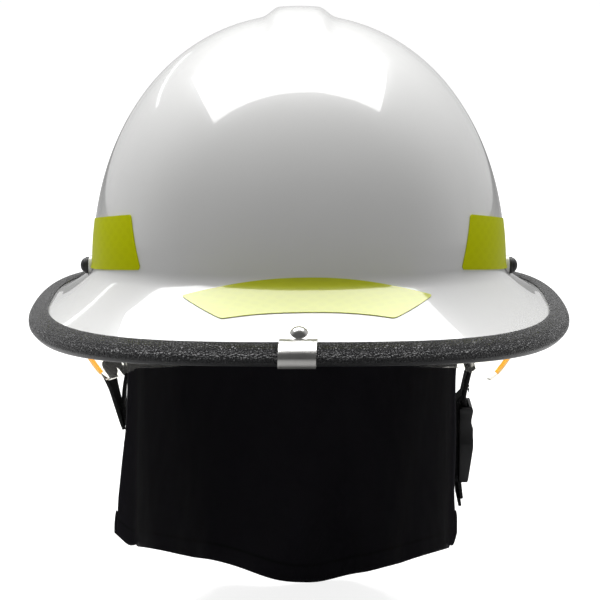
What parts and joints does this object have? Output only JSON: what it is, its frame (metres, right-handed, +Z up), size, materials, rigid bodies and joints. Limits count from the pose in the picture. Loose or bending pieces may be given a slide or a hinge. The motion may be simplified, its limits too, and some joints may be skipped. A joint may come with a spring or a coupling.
{
  "type": "fire helmet",
  "caption": "White full-brim fire helmet with crown ridge, black edge trim, reflective strips, flip-down visor, ratchet headband, chin strap and dark neck curtain.",
  "frame": {"origin": "centre of the wearer's head in the plane of the impact cap's rim, midway between the sides", "axes": "-Y to the front of the helmet, +X to the wearer's left, +Z up through the crown"},
  "size_m": [0.295, 0.3813, 0.3534],
  "materials": {
    "shell_white": "very glossy moulded shell",
    "trim_black": "pebbled moulding",
    "stainless": "satin stainless",
    "ring_steel": "satin plated wire",
    "reflective_lime": "lime-yellow reflective film",
    "foam_grey": "moulded foam skin",
    "crown_web": "woven para-aramid webbing",
    "pad_cloth": "soft knitted cover over foam",
    "band_plastic": "moulded nylon",
    "lens_clear": "clear faintly yellow lens with amber edge",
    "visor_black": "moulded nylon",
    "web_black": "woven webbing",
    "hanger_black": "moulded acetal",
    "button_black": "moulded acetal",
    "curtain_navy": "dark quilted flame-resistant cloth"
  },
  "bodies": {
    "helmet": {"outer_shell": "shell_white", "edge_trim": "trim_black", "front_clip": "stainless", "front_clip_screw": "stainless", "front_clip_nut": "stainless", "reflective_front": "reflective_lime", "reflective_sides": "reflective_lime", "reflective_rear": "reflective_lime", "impact_cap": "foam_grey", "cap_spacers": "foam_grey", "crown_strap_long": "crown_web", "crown_strap_left": "crown_web", "crown_strap_right": "crown_web", "crown_pad": "pad_cloth", "strap_keys": "band_plastic", "headband": "band_plastic", "headband_hangers": "band_plastic", "brow_pad": "pad_cloth", "ratchet_housing": "band_plastic", "ratchet_cover": "band_plastic", "ratchet_screws": "stainless", "nape_pad": "pad_cloth", "visor_pivot_bolts": "visor_black", "visor_washers": "stainless", "visor_nuts": "stainless", "chin_hangers": "hanger_black", "chin_hanger_rivets": "stainless", "curtain_tape": "web_black", "neck_curtain": "curtain_navy", "hang_bracket": "stainless", "hang_bracket_rivets": "stainless"},
    "visor": {"visor_lens": "lens_clear", "visor_arm_left": "visor_black", "visor_arm_right": "visor_black", "visor_rivets": "visor_black"},
    "ratchet_core": {"ratchet_knob": "band_plastic", "ratchet_pinion": "band_plastic"},
    "tail_left": {"headband_tail_left": "band_plastic"},
    "tail_right": {"headband_tail_right": "band_plastic"},
    "ring_left": {"chin_ring_left": "ring_steel"},
    "strap_left": {"chin_strap_left": "web_black", "buckle_plug": "hanger_black"},
    "slide": {"chin_slide": "hanger_black"},
    "ring_right": {"chin_ring_right": "ring_steel"},
    "strap_right": {"chin_strap_right": "web_black", "buckle_socket": "hanger_black"},
    "button": {"buckle_button": "button_black"},
    "hook_ring": {"hang_ring": "stainless"}
  },
  "joints": [
    {"name": "visor_hinge", "type": "hinge", "parent": "helmet", "child": "visor", "pos_m": [0, -0.004, 0.002], "axis": [1, 0, 0], "range_deg": [0, 36]},
    {"name": "ratchet_turn", "type": "hinge", "parent": "helmet", "child": "ratchet_core", "pos_m": [0, 0.098, -0.017], "axis": [0, 1, 0], "range_deg": [-45, 150]},
    {"name": "tail_left_slide", "type": "slide", "parent": "helmet", "child": "tail_left", "axis": [1, 0, 0], "range_m": [-0.0048, 0.0158]},
    {"name": "tail_right_slide", "type": "slide", "parent": "helmet", "child": "tail_right", "axis": [-1, 0, 0], "range_m": [-0.0048, 0.0158]},
    {"name": "ring_left_swing", "type": "hinge", "parent": "helmet", "child": "ring_left", "pos_m": [-0.096, 0.031, -0.047], "axis": [0, 1, 0], "range_deg": [0, 45]},
    {"name": "strap_left_swing", "type": "hinge", "parent": "ring_left", "child": "strap_left", "pos_m": [-0.096, 0.031, -0.059], "axis": [0, 1, 0], "range_deg": [0, 25]},
    {"name": "slide_adjust", "type": "slide", "parent": "strap_left", "child": "slide", "axis": [0, 0, 1], "range_m": [-0.004, 0.004]},
    {"name": "ring_right_swing", "type": "hinge", "parent": "helmet", "child": "ring_right", "pos_m": [0.096, 0.031, -0.047], "axis": [0, -1, 0], "range_deg": [0, 45]},
    {"name": "strap_right_swing", "type": "hinge", "parent": "ring_right", "child": "strap_right", "pos_m": [0.096, 0.031, -0.059], "axis": [0, -1, 0], "range_deg": [0, 30]},
    {"name": "button_press", "type": "slide", "parent": "strap_right", "child": "button", "axis": [-1, 0, 0], "range_m": [0, 0.0018], "stiffness_N_per_m": 300},
    {"name": "hang_ring_swing", "type": "hinge", "parent": "helmet", "child": "hook_ring", "pos_m": [0, 0.16449, -0.01762], "axis": [1, 0, 0], "range_deg": [0, 150]}
  ],
  "couplings": [
    {"joint": "tail_left_slide", "follows": "ratchet_turn", "m_per_rad": 0.006},
    {"joint": "tail_right_slide", "follows": "ratchet_turn", "m_per_rad": 0.006}
  ]
}
